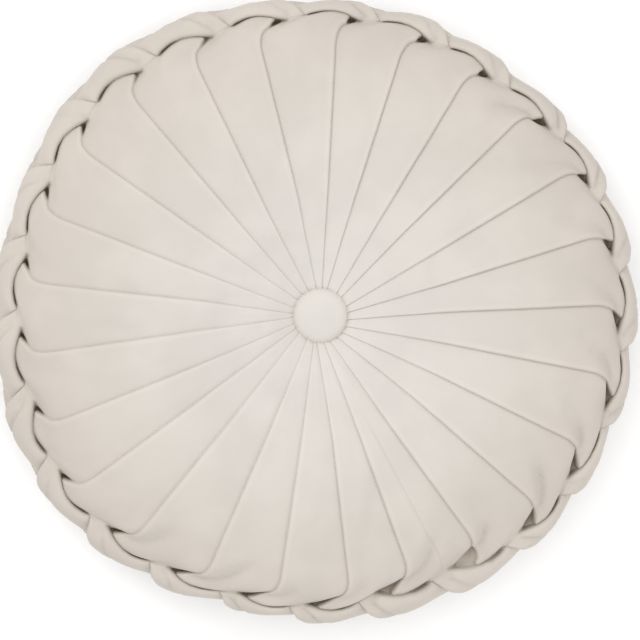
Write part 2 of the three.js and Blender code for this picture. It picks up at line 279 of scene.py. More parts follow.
CREASES = np.array([
    (0, 0.10, -3, 0.42, -22, 0.7, 3.0),
    (1, 0.10, -3, 0.45, -30, 0.8, 3.0),
    (1, 0.45, -30, 0.60, -55, 0.4, 4.0),
    (2, 0.10, -3, 0.42, -35, 0.9, 3.0),
    (2, 0.42, -35, 0.60, -62, 0.5, 4.0),
    (3, 0.02, -3, 0.50, -20, 1.2, 2.8),
    (3, 0.22, -22, 0.52, -60, 0.8, 3.2),
    (4, 0.62, -33, 0.62, -65, 0.4, 5.0),
    (6, 0.35, -6, 0.45, -33, 0.35, 3.5),
    (6, 0.45, -33, 0.75, -80, 0.35, 4.0),
    (7, 0.45, -15, 0.60, -60, 0.35, 5.0),
    (8, 0.20, -6, 0.45, -35, 0.4, 4.0),
    (8, 0.50, -55, 0.70, -80, 0.3, 4.0),
    (9, 0.30, -10, 0.50, -40, 0.25, 4.0),
    (12, 0.70, -50, 0.85, -80, 0.3, 3.0),
    (13, 0.45, -20, 0.60, -50, 0.25, 4.0),
    (16, 0.02, -3, 0.36, -25, 1.0, 2.8),
    (17, 0.05, -4, 0.55, -24, 1.1, 3.0),
    (18, 0.05, -4, 0.30, -16, 0.9, 3.0),
    (18, 0.40, -35, 0.65, -75, 0.35, 4.0),
    (19, 0.05, -4, 0.32, -17, 0.9, 3.0),
    (19, 0.45, -40, 0.85, -80, 0.4, 4.0),
    (20, 0.10, -4, 0.50, -24, 1.2, 3.0),
    (20, 0.50, -24, 0.70, -33, 0.4, 3.5),
    (21, 0.05, -4, 0.30, -18, 1.3, 3.0),
    (21, 0.30, -18, 0.45, -45, 0.7, 3.5),
    (21, 0.45, -45, 0.50, -65, 0.4, 4.0),
    (22, 0.05, -3, 0.50, -26, 1.3, 3.0),
    (23, 0.03, -3, 0.30, -17, 1.3, 3.0),
    (23, 0.30, -17, 0.60, -30, 0.7, 3.5),
    (24, 0.08, -3, 0.40, -20, 1.1, 3.0),
    (24, 0.40, -20, 0.60, -29, 0.5, 3.5),
])
CREASE_GAIN = 2.6  # times the table's depths
CREASE_SPREAD = 1.45  # times the table's widths
CREASE_LEAN = 0.9  # the pitch halfway along a crease, as a share of the rim's
CREASE_REACH = 1.5  # pitches from its own pleat
CREASE_GROWS = (-0.25, 0.15)  # shares of its length
CREASE_FADES = (0.7, 1.25)
WELT = 0.45  # the cloth beside a crease rises by this share of its depth
WELT_PLACE = 2.0  # in the crease's widths
WELT_WIDTH = 1.2
SOFT_FADES = (-3, 0)

# The join of the cloth's two ends, a plain seam that runs between two folds

JOIN_PLACE = 20.49  # in pitches
JOIN_TURN = 0.31  # it keeps its own angle where the folds turn towards their holes
JOIN_DEPTH = 0.35
JOIN_WIDTH = 0.7
JOIN_WELT = 0.3
JOIN_WELT_PLACE = 2.0
JOIN_WELT_WIDTH = 1.0
JOIN_GROWS = (30, 75)  # cloth from the button's edge
JOIN_FADES = (-4, 2)

# Each strand of the front and back has a soft crease along it, of its own place and depth, and
# each middle strand has its own width and rise

rng = np.random.default_rng(41)
STRAND_CREASE_PLACE = rng.uniform(0.25, 0.5, COUNT)
STRAND_CREASE_DEPTH = rng.uniform(0.9, 2.6, COUNT)
MIDDLE_WIDTH_SHARE = rng.uniform(0.9, 1.08, COUNT)
MIDDLE_RISE_CHANGE = rng.uniform(-1.2, 0.6, COUNT)


def section(table, place):
    """The three values of a section at a place across it."""
    return (np.interp(place, table[:, 0], table[:, column]) for column in (1, 2, 3))


def smooth(low, high, value):
    """0 up to low, 1 from high, and a smooth curve between them."""
    share = np.clip((value - low) / (high - low), 0, 1)
    return share * share * (3 - 2 * share)


def bump(value, width):
    """1 at 0, and down to nothing about two widths away."""
    return np.exp(-(value / width) ** 2)


def wrap(value):
    """The nearest whole number taken off, from -0.5 to 0.5."""
    return value - np.round(value)


def catmull_rom(a, b, c, d, t):
    """A smooth curve from b to c at share t, where a comes before them and d after."""
    return b + 0.5 * t * (c - a + t * (2 * a - 5 * b + 4 * c - d + t * (3 * (b - c) + d - a)))


def pleat_values(name):
    """A column of the pleats' table."""
    return PLEATS[:, PLEAT_COLUMNS.index(name)]


def pleat_column(name, turn=0.0):
    """A pleat column as a smooth periodic function of u; an angle grows by turn each lap."""
    values = pleat_values(name)

    def at(u):
        whole = np.floor(u).astype(int)
        around = (values[k % COUNT] + (k // COUNT) * turn
                  for k in (whole - 1, whole, whole + 1, whole + 2))
        return catmull_rom(*around, u - whole)
    return at


stitch_reading = pleat_column("stitch", 360.0)
radius_reading = pleat_column("stitch_radius")
reach = pleat_column("reach")


def stitch_angle(u):
    """Angle of the line of stitches at u, in degrees."""
    return stitch_reading(u) - STITCH_LAG


def stitch_radius(u):
    """Radius of the line of stitches at u."""
    return radius_reading(u) - SEEN_GAIN - NEAR_GAIN * np.cos(np.radians(stitch_reading(u)) - NEAR_SIDE)


# Each fold's hole and slit

stitches = np.radians(pleat_values("stitch"))


def towards(angle):
    """For each fold, 1 where it lies at the angle, down to 0 opposite."""
    return 0.5 + 0.5 * np.cos(stitches - angle)


pulled = bump((stitches - PULLED_OPEN + math.pi) % (2 * math.pi) - math.pi, PULL_SPREAD)
openness = 1 - (1 - SHUT_SHARE) * bump(stitches - DRAWN_SHUT, SHUT_SPREAD)
hole_widths = HOLE_WIDTH * (LEAST_HOLE + (1 - LEAST_HOLE) * towards(WIDEST_HOLE)) * openness
hole_widths += PULLED_HOLE * pulled
hole_runs = HOLE_RUN[0] + (HOLE_RUN[1] - HOLE_RUN[0]) * towards(LONGEST_HOLE) ** 2
hole_depths = HOLE_DEPTH * openness * (1 - (1 - PULLED_DEPTH) * pulled)
# Painted shade down in each hole: the longest and the pulled ones paler, the shut ones much less
hole_shades = 1 - (1 - OPEN_HOLE_SHADE) * towards(LONGEST_HOLE) ** 2
hole_shades *= openness * (1 - (1 - PULLED_SHADE) * pulled)
fold_dips = FOLD_DIP * (LEAST_DIP + (1 - LEAST_DIP) * towards(WIDEST_HOLE))
slit_openings = WIDER_SLIT * towards(LONGEST_HOLE) ** 2 + PULLED_SLIT * pulled
# Painted shade in each slit, paler where the stitches are pulled
slit_shades = SLIT_SHADE * (1 - (1 - PULLED_SHADE) * pulled)


# The stuffed body's profile, from the front's button over the rim to the back's

def spline(points):
    """Catmull-Rom curve through the points, with its running length."""
    padded = np.vstack([2 * points[0] - points[1], points, 2 * points[-1] - points[-2]])
    t = np.linspace(0, 1, SPAN_STEPS, endpoint=False)[:, None]
    spans = [catmull_rom(a, b, c, d, t)
             for a, b, c, d in zip(padded[:-3], padded[1:-2], padded[2:-1], padded[3:])]
    curve = np.vstack([*spans, points[-1:]])
    steps = np.linalg.norm(np.diff(curve, axis=0), axis=1)
    return curve, np.concatenate([[0], np.cumsum(steps)])


back_profile = PROFILE[-2::-1] * (1, -1)
profile_curve, profile_length = spline(np.vstack([PROFILE, back_profile]))
FACE_CLOTH = profile_length[STITCH_POINT * SPAN_STEPS]
rim_stretch = (profile_length[-1] - 2 * FACE_CLOTH) / RIM_CLOTH
profile_tangent = np.gradient(profile_curve, profile_length, axis=0)


def body(y):
    """Point (r, rise) and outward normal of the stuffed body at y from the front's stitches."""
    on_rim = np.clip(y, 0, RIM_CLOTH)
    length = FACE_CLOTH + on_rim * rim_stretch + np.minimum(y, 0) + np.maximum(y - RIM_CLOTH, 0)
    r, up = (np.interp(length, profile_length, profile_curve[:, k]) for k in (0, 1))
    along_r, along_up = (np.interp(length, profile_length, profile_tangent[:, k]) for k in (0, 1))
    size = np.hypot(along_r, along_up)
    return r, up, -along_up / size, along_r / size


def face_pitch(y):
    """A pleat's width on a face, at y from the stitches."""
    return np.maximum(body(y)[0], LEAST_PITCH_RADIUS) * 2 * math.pi / COUNT


def fold_angle(u, r, is_back):
    """Angle on a face at u, where whole numbers are folds; the back is the front turned over."""
    inverse = 1 / np.maximum(r, LEAST_FOLD_RADIUS)
    outer = (inverse - 1 / FOLD_RADII["rim"]) / (1 / FOLD_RADII["mid"] - 1 / FOLD_RADII["rim"])
    inner = (inverse - 1 / FOLD_RADII["mid"]) / (1 / FOLD_RADII["button"] - 1 / FOLD_RADII["mid"])
    face_profile = PROFILE[:STITCH_POINT + 1]
    k = np.floor(u).astype(int)
    found = []
    for index in (k, k + 1):
        rim, mid, button, stitch = (pleat_values(name)[index % COUNT] for name in PLEAT_COLUMNS[:4])
        angle = np.where(outer < 1, rim + outer * (mid - rim), mid + inner * (button - mid))
        turned = np.radians(angle)
        across = SEEN_SHIFT[1] * np.cos(turned) - SEEN_SHIFT[0] * np.sin(turned)
        above = np.interp(r, face_profile[:, 0], face_profile[:, 1]) - PROFILE[0, 1]
        angle = angle - np.degrees(across * above / np.maximum(r, LEAST_FOLD_RADIUS))
        angle = np.where(is_back, 2 * stitch - angle, angle)
        found.append(angle + (index // COUNT) * 360.0)
    return found[0] + (u - k) * (found[1] - found[0])


# Rows and columns: s is a row's place outwards from the slit's line, and u goes round in pitches

def turned_share(s):
    """How far a row has turned from the folds' own angles on a face to the stitches' angles."""
    from_slit = np.minimum(s, RIM_CLOTH - s)
    return np.clip((from_slit + BEND_RUN) / (BEND_RUN - BEND_END), 0, 1) ** 3


def rim_line(name, u):
    """A column of the rim's line at u."""
    place = (u - HOLE_END) % 1 + HOLE_END
    return np.interp(place, RIM_LINE[:, 0], RIM_LINE[:, RIM_COLUMNS.index(name)])


def near_line(s):
    """How far a row follows the slit's scalloped line."""
    return smooth(*LINE_GROWS, s) * (1 - smooth(*LINE_FADES, s))


def cloth_place(u, s):
    """Place y of a row at u: rows near the slit follow its scalloped line, on front and back."""
    return s + rim_line("along", u) * near_line(s) - rim_line("along", -u) * near_line(RIM_CLOTH - s)


def fold_path(s):
    """Where the fold's columns run: straight on the faces, then from hole to hole over the rim."""
    return np.interp(s, FOLD_PATH_ROWS, FOLD_PATH_PLACES)


def edge_path(s):
    """Where a strand's free edge runs: steep near its start on each side, and more slanted between."""
    return EDGE_START + EDGE_TURN * np.interp(s / RIM_CLOTH, EDGE_CLOTH_SHARES, EDGE_TURN_SHARES)


def join_path(s):
    """Where the cloth's join runs."""
    round_rim = (edge_path(s) - EDGE_START) * (s > 0)
    return JOIN_PLACE + JOIN_TURN * np.where(s > RIM_CLOTH / 2, 1.0, turned_share(s)) + round_rim


def hole_width(k, s):
    """Width in mm of fold k's triangular hole between its end and the strand."""
    return hole_widths[k] * smooth(-hole_runs[k], HOLE_WIDE, s) * (1 - smooth(*HOLE_NARROWS, s))


def panel_relief(u, s, pitch):
    """Rise, drop, shift round, and painted shade and highlight of a panel, and of the hole at its fold's
    end.

    A panel is high at its own fold and sinks under the next one's.
    """
    from_fold = u - fold_path(s)
    x = wrap(from_fold) * pitch
    fold = np.round(from_fold).astype(int) % COUNT
    bend = smooth(-hole_runs[fold], HOLE_FULL, s) * (1 - smooth(*HOLE_FADES, s))
    past_hole = x - np.clip(x, 0, hole_width(fold, s))
    fold_width = np.minimum(FOLD_WIDTH + (BEND_WIDTH - FOLD_WIDTH) * bend, WIDEST_FOLD * pitch)
    across, dip, step = section(FOLD_SECTION, past_hole / fold_width)
    on_face = 1 - smooth(*FACE_FADES, s)
    size = PLEAT_STEP * np.minimum(1, STEP_START + pitch / STEP_GROWTH)
    rise = on_face * size * (step + (1 - from_fold % 1) - (x >= 0))
    drop = on_face * dip * (fold_dips[fold] * size + (hole_depths[fold] - size) * bend)
    shift_u = on_face * across * np.minimum(fold_width, FOLD_WIDTH)
    # Painted shade in the fold's crevice and down in the hole, and a painted highlight on the rolled
    # edge
    shade = on_face * dip * (FOLD_SHADE + (hole_shades[fold] - FOLD_SHADE) * bend)
    narrow = np.minimum(1, pitch / FULL_RIDGE_PITCH)
    shine = RIDGE_SHINE * bump(past_hole - RIDGE_PLACE * narrow, RIDGE_WIDTH * narrow) * on_face
    return rise, drop, shift_u, shade, shine


def strand_relief(u, s):
    """Rise, shift round, and painted shade of a strand, at its free edge and in its own soft crease.

    A strand starts low under its neighbour's free edge and ends high at its own.
    """
    from_edge = u - edge_path(s)
    v = from_edge % 1
    to_edge = wrap(from_edge)
    across, dip, step = section(EDGE_SECTION, to_edge * PITCH_WIDTH / EDGE_WIDTH)
    bank = 1 - v * STRAND_FALL
    free = bank + (step - (to_edge >= 0)) * STRAND_FALL
    growth = smooth(*STRAND_GROWS, s) * (1 - DIVE_SHARE * smooth(*STRAND_DIVES, s))
    start = smooth(*EDGE_GROWS, s)
    rise = STRAND_RISE * growth * (bank + start * (free - bank)) - EDGE_DIP * dip * start
    rise = rise - WAIST_DEPTH * smooth(*STRAND_DIVES, s)
    strand = np.floor(from_edge).astype(int) % COUNT
    place = STRAND_CREASE_PLACE[strand] * np.interp(s, STRAND_CREASE_ROWS, STRAND_CREASE_SHARES)
    shown = smooth(*STRAND_CREASE_GROWS, s) * (1 - smooth(*STRAND_CREASE_FADES, s))
    groove = STRAND_CREASE_DEPTH[strand] * bump((v - place) * PITCH_WIDTH, STRAND_CREASE_WIDTH) * shown
    # Painted shade at the free edge, and in the soft crease along the strand
    return rise - groove, across * EDGE_WIDTH * start, dip * start, SOFT_SHADE * groove


def slit_relief(u, s):
    """Shift out, drop and painted shade of the slit, with the strand's lift beyond it."""
    depth = rim_line("depth", u)
    width = rim_line("width", u)
    stitch = np.floor(u - HOLE_END).astype(int) % COUNT
    width = width + slit_openings[stitch] * np.maximum(width - 1, 0)
    out, dip, lifted = section(SLIT_SECTION, s * (1 + (1 / width - 1) * bump(s, SLIT_REACH)))
    drop = depth * dip - rim_line("lift", u) * lifted
    # Painted shade down in the slit
    shade = slit_shades[stitch] * dip * np.minimum(depth / SLIT_DEPTH, 1)
    fullness = rim_line("out", u) * smooth(*FULLNESS_GROWS, s) * (1 - smooth(*FULLNESS_FADES, s))
    return fullness + out * np.clip(depth / SLIT_DEPTH, LEAST_LEAN, 1), drop, shade


def front_relief(u, s, y):
    """Rise off the body, shift out, drop, shift round, all in mm, and the painted shading."""
    pitch = np.where(y < 0, face_pitch(y), PITCH_WIDTH)
    panel_rise, panel_drop, panel_shift, panel_shade, shine = panel_relief(u, s, pitch)
    strand_rise, strand_shift, edge_shade, groove_shade = strand_relief(u, s)
    out, slit_drop, slit_shade = slit_relief(u, s)
    # Painted shadow of the button on the pleats, joined with the other painted shades, less the painted
    # highlight
    button_shade = BUTTON_SHADE * (1 - smooth(*BUTTON_SHADE_FADES, y + FACE_CLOTH))
    painted_shading = np.maximum(panel_shade, edge_shade) + groove_shade
    painted_shading = np.maximum(np.maximum(painted_shading, slit_shade), button_shade) - shine
    return panel_rise + strand_rise, out, panel_drop + slit_drop, panel_shift + strand_shift, painted_shading


def face_creases(u, s):
    """Depth in mm of the soft creases and the join on the front's face."""
    depth = np.zeros_like(u)
    pitch = face_pitch(s)
    for pleat, from_share, from_s, to_share, to_s, deepest, width in CREASES:
        off = (u - pleat - from_share + COUNT / 2) % COUNT - COUNT / 2
        run = np.array([(to_share - from_share) * PITCH_WIDTH * CREASE_LEAN, to_s - from_s])
        x, y = off * pitch, s - from_s
        along = (x * run[0] + y * run[1]) / (run @ run)
        across = (x * run[1] - y * run[0]) / np.hypot(*run)
        fade = smooth(*CREASE_GROWS, along) * (1 - smooth(*CREASE_FADES, along))
        width = CREASE_SPREAD * width
        groove = bump(across, width) - WELT * bump(across - WELT_PLACE * width, WELT_WIDTH * width)
        depth = depth + CREASE_GAIN * deepest * groove * fade * (np.abs(off) < CREASE_REACH)
    to_join = np.abs(u % COUNT - join_path(s)) * pitch
    grown = smooth(-FACE_CLOTH + JOIN_GROWS[0], -FACE_CLOTH + JOIN_GROWS[1], s)
    seam = bump(to_join, JOIN_WIDTH) - JOIN_WELT * bump(to_join - JOIN_WELT_PLACE, JOIN_WELT_WIDTH)
    join = grown * (1 - smooth(*JOIN_FADES, s)) * JOIN_DEPTH * seam
    return depth * (1 - smooth(*SOFT_FADES, s)), join


def relief(u, s):
    """The cover's relief: the front, and the back as the front turned over."""
    y = cloth_place(u, s)
    front = front_relief(u, s, y)
    back = front_relief(-u, RIM_CLOTH - s, RIM_CLOTH - y)
    to_back = smooth(*TURN_OVER, s)
    signs = (1, 1, -1, -1, 1)
    rise, out, drop, shift_u, painted_shading = (
        a + to_back * (sign * b - a) for a, b, sign in zip(front, back, signs))
    soft, join = face_creases(u, s)
    rise = rise - soft - join
    # Painted shade in the join's groove and in the soft creases
    painted_shading = painted_shading + np.maximum(JOIN_SHADE * join / JOIN_DEPTH, SOFT_SHADE * soft).clip(0)
    return y, rise, out, drop, shift_u, np.clip(painted_shading, -1, 1)


def plain_point(u, s, y, rise=0.0, out=0.0, drop=0.0, shift_u=0.0):
    """Points of the cover in mm, before the stuffing swells it."""
    r, up, normal_r, normal_up = body(y)
    is_back = s > RIM_CLOTH / 2
    rim_angle = stitch_angle(u)
    angle = rim_angle + (1 - turned_share(s)) * (fold_angle(u, r, is_back) - rim_angle)
    at_stitch = (stitch_radius(u) - NOMINAL_STITCH_RADIUS) * np.clip(r / NOMINAL_STITCH_RADIUS, 0, 1)
    at_reach = reach(u) - NOMINAL_REACH
    from_stitch = np.minimum(y, RIM_CLOTH - y)
    uneven = at_stitch + smooth(*REACH_GROWS, from_stitch) * (at_reach - at_stitch)
    radius = r + uneven + rise * normal_r + out
    turn = np.radians(angle) + shift_u / np.maximum(radius, LEAST_TURN_RADIUS)
    z = MIDDLE_Z + up + rise * normal_up - drop
    return np.stack([CENTRE[0] + radius * np.cos(turn), CENTRE[1] + radius * np.sin(turn), z], axis=-1)


def ring_band(first, second, sides):
    """Four-sided faces between two rings of points, which start at first and second."""
    return [(first + k, second + k, second + (k + 1) % sides, first + (k + 1) % sides)
            for k in range(sides)]


def capped_rings(rings, sides):
    """Faces of a closed mesh: rings of points, then an end point before the first and after the last."""
    start_point, end_point = rings * sides, rings * sides + 1
    last = (rings - 1) * sides
    faces = []
    for k in range(sides):
        after = (k + 1) % sides
        for a in range(0, last, sides):
            faces.append((a + k, a + sides + k, a + sides + after, a + after))
        faces.append((start_point, k, after))
        faces.append((end_point, last + after, last + k))
    return faces


# The stuffing swells the panels: a coarse cloth under pressure, held at the folds and stitches

SIM_COLUMNS = 6  # to each pitch
SIM_FRAMES = 20
SIM_SEED = 5
SIM_UNEVENNESS = 0.25  # mm
SWELL_LIMIT = 5.0
FOLD_HOLD = 0.9  # 1 holds a point still
STITCH_HOLD = 0.7
RIM_HOLD = 0.6  # share of the swelling that the rim loses
RIM_HELD = (-4, 4)
BUTTON_ROWS = [0, 1, -2, -1]
AT_FOLD = 0.01
FACE_SIM_ROWS = np.linspace(-FACE_CLOTH + 8, 0, 26)
SIM_ROWS = np.concatenate([FACE_SIM_ROWS, np.arange(8, RIM_CLOTH, 8), RIM_CLOTH - FACE_SIM_ROWS[::-1]])
CLOTH = {
    "quality": 6,
    "mass": 0.3,
    "tension_stiffness": 15,
    "compression_stiffness": 15,
    "shear_stiffness": 5,
    "bending_stiffness": 0.3,
    "shrink_min": -0.012,
    "use_pressure": True,
    "uniform_pressure_force": 4,
}


def swollen():
    """Shifts in mm of the coarse cloth's rows and columns."""
    columns_in_all = COUNT * SIM_COLUMNS
    u, s = np.meshgrid(np.arange(columns_in_all) / SIM_COLUMNS, SIM_ROWS)
    rest = plain_point(u, s, s)
    rest += np.random.default_rng(SIM_SEED).normal(0, SIM_UNEVENNESS, rest.shape)
    middles = [[*CENTRE, MIDDLE_Z + side * PROFILE[0, 1]] for side in (1, -1)]
    vertices = np.vstack([rest.reshape(-1, 3), middles]) * MM
    mesh = bpy.data.meshes.new("coarse")
    mesh.from_pydata(vertices.tolist(), [], capped_rings(len(SIM_ROWS), columns_in_all))
    coarse = bpy.data.objects.new("coarse", mesh)
    bpy.context.scene.collection.objects.link(coarse)

    held = coarse.vertex_groups.new(name="held")
    on_face = (s <= 0) | (s >= RIM_CLOTH)
    at_fold = np.abs(wrap(u)) < AT_FOLD
    at_stitches = (s == 0) | (s == RIM_CLOTH)
    weight = np.where(on_face & at_fold, FOLD_HOLD, 0.0)
    weight = np.where(at_stitches, np.where(at_fold, 1.0, STITCH_HOLD), weight)
    weight[BUTTON_ROWS] = 1.0
    for index, value in enumerate([*weight.ravel(), 1.0, 1.0]):
        if value > 0:
            held.add([index], float(value), "REPLACE")

    cloth = coarse.modifiers.new("cloth", "CLOTH")
    cloth.settings.vertex_group_mass = "held"
    for name, value in CLOTH.items():
        setattr(cloth.settings, name, value)
    cloth.settings.effector_weights.gravity = 0
    cloth.point_cache.frame_start = 1
    cloth.point_cache.frame_end = SIM_FRAMES
    for number in range(1, SIM_FRAMES + 1):
        bpy.context.scene.frame_set(number)
    depsgraph = bpy.context.evaluated_depsgraph_get()
    result = coarse.evaluated_get(depsgraph).to_mesh()
    found = np.empty(len(vertices) * 3)
    result.vertices.foreach_get("co", found)
    shift = found.reshape(-1, 3)[:-2].reshape(rest.shape) / MM - rest
    bpy.data.objects.remove(coarse)
    bpy.data.meshes.remove(mesh)
    bpy.context.scene.frame_set(1)
    length = np.linalg.norm(shift, axis=-1, keepdims=True)
    return shift * np.minimum(1, SWELL_LIMIT / np.maximum(length, 1e-6))


SWELL = swollen()


def spline_weights(t):
    """Steps and weights of a smooth curve's four neighbours at share t."""
    return ((-1, (1 - t) ** 3 / 6), (0, (3 * t ** 3 - 6 * t ** 2 + 4) / 6),
            (1, (-3 * t ** 3 + 3 * t ** 2 + 3 * t + 1) / 6), (2, t ** 3 / 6))


def swell(u, s):
    """The coarse cloth's shift at (u, s), smoothly between its points."""
    row = np.interp(s, SIM_ROWS, np.arange(len(SIM_ROWS)))
    column = u * SIM_COLUMNS
    row_floor, column_floor = np.floor(row).astype(int), np.floor(column).astype(int)
    total = 0
    for step_row, weight_row in spline_weights(row - row_floor):
        at_row = np.clip(row_floor + step_row, 0, len(SIM_ROWS) - 1)
        for step_column, weight_column in spline_weights(column - column_floor):
            at_column = (column_floor + step_column) % (COUNT * SIM_COLUMNS)
            total = total + (weight_row * weight_column)[..., None] * SWELL[at_row, at_column]
    return total


def swelled(points, u, s):
    """Points moved by the swelling and kept above the floor, in metres."""
    if SWELL is not None:
        on_rim = smooth(*RIM_HELD, np.minimum(s, RIM_CLOTH - s))
        points = points + swell(u, s) * (1 - RIM_HOLD * on_rim)[..., None]
    points[..., 2] = np.maximum(points[..., 2], 0)
    return points * MM


def cover_points(u, s):
    """Points of the cover in metres, and their painted shading, for places u (pitches) and rows s."""
    y, rise, out, drop, shift_u, painted_shading = relief(u, s)
    return swelled(plain_point(u, s, y, rise, out, drop, shift_u), u, s), painted_shading


def soft_mesh(name, points, faces, painted_shading):
    """A smooth mesh that carries the painted shading at each of its points."""
    mesh = bpy.data.meshes.new(name)
    mesh.from_pydata(points.tolist(), [], faces)
    mesh.polygons.foreach_set("use_smooth", [True] * len(mesh.polygons))
    layer = mesh.attributes.new("painted_shading", "FLOAT", "POINT")
    layer.data.foreach_set("value", painted_shading)
    mesh.update()
    return mesh


# The cover's mesh: dense where the cloth laps

BESIDE_FOLD = np.array([0.25, 0.6, 1.2, 2, 3, 4.5])
IN_HOLE = np.array([0, 0.33, 0.67, 1])
LEAST_OPENING = 0.4
FOLD_STEPS_SHARE = 0.38  # share of the pitch that the columns beside a fold reach at most
JOIN_STEPS = np.array([-3, -1.4, -0.7, -0.3, 0, 0.3, 0.7, 1.4, 3])
JOIN_STEPS_SHARE = 0.12
EDGE_STEPS = EDGE_SECTION[:, 0] * EDGE_WIDTH
COLUMNS_BEFORE_EDGE = 7
COLUMNS_AFTER_EDGE = 6
PANEL_COLUMNS = 11
SLIT_ROWS = np.concatenate([[-14, -11, -9, -7.5, -6], SLIT_SECTION[:13, 0], [7.2, 9]])
HALF_RIM_ROWS = np.concatenate([SLIT_ROWS, [11.5, 14, 17, 20, 23.5, 27.5, 32, RIM_CLOTH / 2]])
RIM_ROWS = np.concatenate([HALF_RIM_ROWS, (RIM_CLOTH - HALF_RIM_ROWS)[::-1][1:]])
INNER_ROWS = -FACE_CLOTH + (FACE_CLOTH - 75) * np.linspace(0, 1, 18)
FRONT_ROWS = np.concatenate([INNER_ROWS, np.arange(-71, -36, 3.5), np.arange(-35, -15, 2.5)])
BACK_ROWS = np.concatenate([INNER_ROWS[::2], np.arange(-71, -15, 7.5)])
CENTRE_SINK = 4.5  # how far down the cover's middle lies, under the button


def between(a, b, count):
    """Evenly spaced values between a and b, without them."""
    return a + (b - a) * np.linspace(0, 1, count + 2)[1:-1]


def columns(s, on_rim):
    """Places u of a row's columns, for all pitches."""
    pitch = min(float(body(s)[0]) * 2 * math.pi / COUNT, PITCH_WIDTH)
    is_back = s > RIM_CLOTH / 2
    folds = []
    for k in range(COUNT):
        opening = max(float(hole_width(-k - 1 if is_back else k, min(s, RIM_CLOTH - s))), LEAST_OPENING)
        steps = np.concatenate([-BESIDE_FOLD[::-1], opening * IN_HOLE, opening + BESIDE_FOLD])
        steps = -steps[::-1] if is_back else steps
        steps = steps * min(1.0, FOLD_STEPS_SHARE * pitch / np.abs(steps).max())
        folds.append(k + float(fold_path(s)) + steps / pitch)
    folds.append(folds[0] + COUNT)
    row = []
    for k in range(COUNT):
        start, end = folds[k][-1], folds[k + 1][0]
        row.append(folds[k])
        if on_rim:
            edge = k + float(edge_path(s)) + EDGE_STEPS / PITCH_WIDTH
            row.append(between(start, edge[0], COLUMNS_BEFORE_EDGE))
            row.append(edge)
            row.append(between(edge[-1], end, COLUMNS_AFTER_EDGE))
        else:
            row.append(between(start, end, PANEL_COLUMNS))
    join_steps = JOIN_STEPS * min(1.0, JOIN_STEPS_SHARE * pitch / JOIN_STEPS[-1])
    row.append(float(join_path(s)) + join_steps / pitch)
    return np.sort(np.concatenate(row))


def faces_between(inner_start, inner_keys, outer_start, outer_keys):
    """Faces between two rings, walked by their columns' places round the cushion."""
    n, m = len(inner_keys), len(outer_keys)
    if n == m:
        return ring_band(inner_start, outer_start, n)
    faces = []
    i = j = 0
    while i < n or j < m:
        next_inner = inner_keys[(i + 1) % n] + (COUNT if i + 1 >= n else 0)
        next_outer = outer_keys[(j + 1) % m] + (COUNT if j + 1 >= m else 0)
        a, b = inner_start + i % n, outer_start + j % m
        if i >= n or (j < m and next_outer <= next_inner):
            faces.append((a, b, outer_start + (j + 1) % m))
            j += 1
        else:
            faces.append((a, b, inner_start + (i + 1) % n))
            i += 1
    return faces


def cover_mesh():
    """The closed cover: the front's rows, the rim's, the back's, and a point under each button."""
    rows = [(s, False) for s in FRONT_ROWS]
    rows += [(s, True) for s in RIM_ROWS]
    rows += [(RIM_CLOTH - s, False) for s in BACK_ROWS[::-1]]
    points, painted_shadings, faces, starts, keys = [], [], [], [], []
    count = 0
    for s, on_rim in rows:
        u = columns(s, on_rim)
        found, painted_shading = cover_points(u, np.full(len(u), float(s)))
        starts.append(count)
        keys.append(u)
        points.append(found)
        painted_shadings.append(painted_shading)
        count += len(found)
    for k in range(len(rows) - 1):
        faces += faces_between(starts[k], keys[k], starts[k + 1], keys[k + 1])
    for side, start, flip in ((1, starts[0], False), (-1, starts[-1], True)):
        points.append(np.array([[*CENTRE, MIDDLE_Z + side * (PROFILE[0, 1] - CENTRE_SINK)]]) * MM)
        # Painted shade, as dark as the darkest hole, at the point under the button
        painted_shadings.append(np.ones(1))
        n = len(keys[0])
        for k in range(n):
            ring = (start + k, start + (k + 1) % n)
            faces.append((count, *(ring[::-1] if flip else ring)))
        count += 1
    return soft_mesh("cover", np.vstack(points), faces, np.concatenate(painted_shadings))


# The middle strands of the braid cross over its waist, from hole to hole

MIDDLE_STEPS = 28
MIDDLE_SIDES = 20
MIDDLE_INSET = 7.0  # cloth from a line of stitches to where a middle strand comes out
MIDDLE_HALF_WIDTH = 13.5
MIDDLE_WIDTHS = (0.8, 0.2)  # share of its width at its ends, and what the middle adds
MIDDLE_RISE = 3.5
MIDDLE_ENDS = -15.0  # its ends' rise
MIDDLE_FLOOR = -9.0  # its sides' rise
MIDDLE_UNDERSIDE = 3.0  # how far its underside bulges
VALLEY_DEPTH = 0.9  # a shallow valley runs along its top
VALLEY_SHIFT = 0.2
VALLEY_WIDTH = 0.22
ARCH_POWER = 0.35
ROUND_POWER = 0.6
# Painted shade low on a middle strand's sides, where it meets the cloth below
SIDE_SHADE = 0.6
SIDE_SHADE_REACH = 3.0


